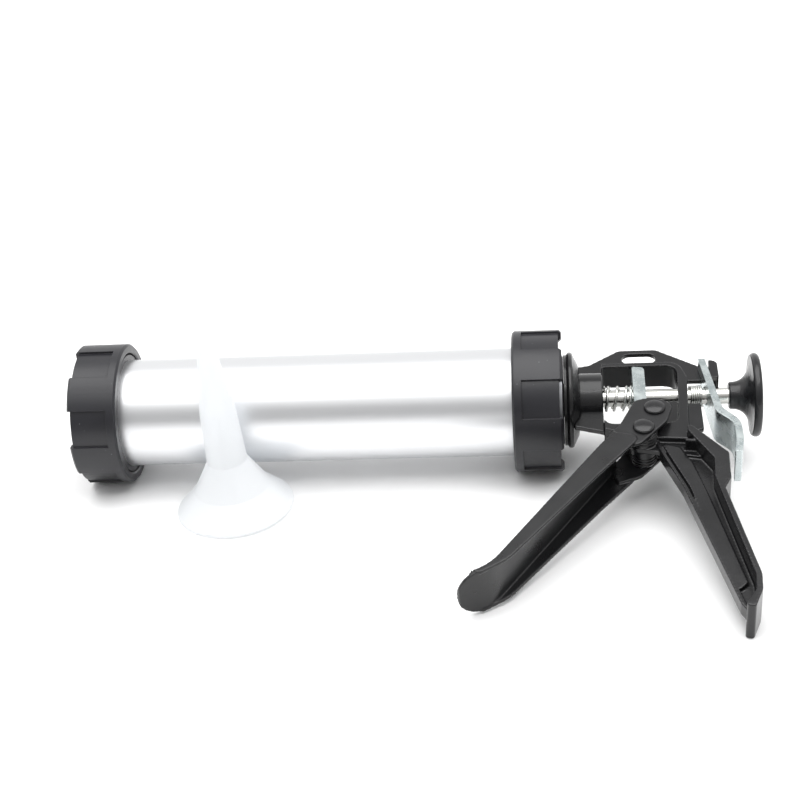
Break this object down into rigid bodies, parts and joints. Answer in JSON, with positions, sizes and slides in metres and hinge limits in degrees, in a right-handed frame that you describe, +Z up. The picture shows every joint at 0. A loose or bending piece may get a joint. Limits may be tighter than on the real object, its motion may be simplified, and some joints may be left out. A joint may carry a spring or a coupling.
{
  "type": "caulking gun",
  "caption": "Hand caulking gun with an aluminium barrel, ribbed black screw caps, cast grip, sprung trigger and a loose nozzle, lying on its side.",
  "frame": {"origin": "centre of the ground under the gun and its loose nozzle", "axes": "+X along the rod towards the knob, +Z up from the surface the gun lies on; the grip points to -Y and dips to rest on its foot"},
  "size_m": [0.329, 0.1829, 0.1002],
  "materials": {
    "barrel": "satin anodised",
    "front_thread_ring": "moulded",
    "rear_thread_ring": "moulded",
    "front_cap": "satin moulded",
    "rear_cap": "satin moulded",
    "end_disc": "plated",
    "collar_washer": "black",
    "thrust_washer": "plated",
    "retaining_ring": "blued spring steel",
    "spigot_boss": "gloss black enamel",
    "handle_frame": "gloss black enamel",
    "grip": "gloss black enamel",
    "push_rod": "zinc plated",
    "rod_knob": "satin moulded",
    "piston": "moulded",
    "piston_seal": "rubber",
    "piston_backing": "zinc plated",
    "piston_nuts": "zinc plated",
    "drive_plate": "bright zinc plated",
    "drive_spring": "zinc plated wire",
    "release_plate": "bright zinc plated",
    "release_spring": "zinc plated wire",
    "trigger": "gloss black enamel",
    "drive_rivet": "gloss black enamel",
    "pivot_rivet": "gloss black enamel",
    "pivot_spacers": "oiled steel",
    "nozzle": "translucent natural polyethylene"
  },
  "bodies": {
    "frame": {"spigot_boss": "spigot_boss", "handle_frame": "handle_frame", "grip": "grip", "collar_washer": "collar_washer", "thrust_washer": "thrust_washer", "retaining_ring": "retaining_ring", "pivot_rivet": "pivot_rivet", "pivot_spacers": "pivot_spacers", "drive_spring": "drive_spring", "release_spring": "release_spring"},
    "barrel": {"barrel": "barrel", "front_thread_ring": "front_thread_ring", "rear_thread_ring": "rear_thread_ring", "rear_cap": "rear_cap", "end_disc": "end_disc"},
    "front_cap": {"front_cap": "front_cap"},
    "rod": {"push_rod": "push_rod", "rod_knob": "rod_knob", "piston": "piston", "piston_seal": "piston_seal", "piston_backing": "piston_backing", "piston_nuts": "piston_nuts"},
    "trigger": {"trigger": "trigger", "drive_rivet": "drive_rivet"},
    "drive_plate": {"drive_plate": "drive_plate"},
    "release_plate": {"release_plate": "release_plate"},
    "nozzle": {"nozzle": "nozzle"}
  },
  "joints": [
    {"name": "barrel_swivel", "type": "hinge", "parent": "frame", "child": "barrel", "pos_m": [0.0725, 0.05704, 0.034], "axis": [1, 0, 0], "continuous": true},
    {"name": "front_cap_unscrew", "type": "slide", "parent": "barrel", "child": "front_cap", "axis": [-1, 0, 0], "range_m": [0, 0.05]},
    {"name": "rod_slide", "type": "slide", "parent": "frame", "child": "rod", "axis": [1, 0, 0], "range_m": [-0.003, 0.187]},
    {"name": "trigger_squeeze", "type": "hinge", "parent": "frame", "child": "trigger", "pos_m": [0.1071, 0.02211, 0.02821], "axis": [0, -0.1636, 0.9865], "range_deg": [0, 28], "stiffness_Nm_per_rad": 0.6, "springref_deg": -28.65},
    {"name": "drive_stroke", "type": "slide", "parent": "frame", "child": "drive_plate", "axis": [-1, 0, 0], "range_m": [0, 0.0074], "deforming": ["drive_spring"]},
    {"name": "release_press", "type": "hinge", "parent": "frame", "child": "release_plate", "pos_m": [0.1407, 0.06888, 0.03596], "axis": [0, 0.1636, -0.9865], "range_deg": [0, 2.4], "stiffness_Nm_per_rad": 1, "springref_deg": -17.19, "deforming": ["release_spring"]},
    {"name": "nozzle_away", "type": "slide", "parent": "frame", "child": "nozzle", "axis": [0, -1, 0], "range_m": [0, 0.07]}
  ],
  "couplings": [
    {"joint": "drive_stroke", "follows": "trigger_squeeze", "m_per_rad": 0.0148}
  ]
}
